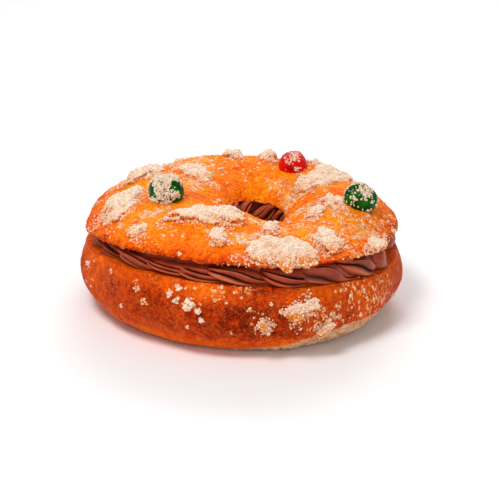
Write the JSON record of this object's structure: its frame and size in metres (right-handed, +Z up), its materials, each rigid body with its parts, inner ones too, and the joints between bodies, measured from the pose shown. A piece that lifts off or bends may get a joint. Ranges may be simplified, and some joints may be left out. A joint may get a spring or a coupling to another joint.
{
  "type": "roscon de reyes",
  "caption": "Ring-shaped sweet bread cut across and filled with piped chocolate cream, with candied cherries and moist sugar on its golden crust.",
  "frame": {"origin": "centre of the footprint, on the face that the ring rests on", "axes": "+Z up along the ring's axis; -Y is the front, where the largest heap of sugar lies; +X is to the right seen from the front"},
  "size_m": [0.202, 0.202, 0.0887],
  "materials": {
    "crust_lid": "baked, satin, grainy with sugar",
    "crust_base": "baked, satin",
    "cream": "smooth, satin",
    "cherry_green": "candied, glossy",
    "cherry_red": "candied, glossy",
    "sugar": "coarse moist crystals"
  },
  "bodies": {
    "root": {"bread_base": "crust_base", "bread_lid": "crust_lid", "chocolate_cream": "cream", "cherry_green_left": "cherry_green", "cherry_green_right": "cherry_green", "cherry_red": "cherry_red", "sugar_front": "sugar", "sugar_ridge": "sugar", "sugar_left": "sugar", "sugar_right": "sugar", "sugar_slope": "sugar", "sugar_slope_low": "sugar", "sugar_far_right": "sugar", "sugar_back_left": "sugar", "sugar_back_slope": "sugar", "sugar_crest_left": "sugar", "sugar_crest_middle": "sugar", "sugar_crest_right": "sugar", "sugar_hole_front": "sugar", "sugar_small_front": "sugar", "sugar_small_left": "sugar", "sugar_small_right": "sugar", "sugar_back_outer": "sugar", "sugar_base_front": "sugar", "sugar_base_low": "sugar", "sugar_base_middle": "sugar", "sugar_base_back": "sugar"}
  },
  "joints": []
}
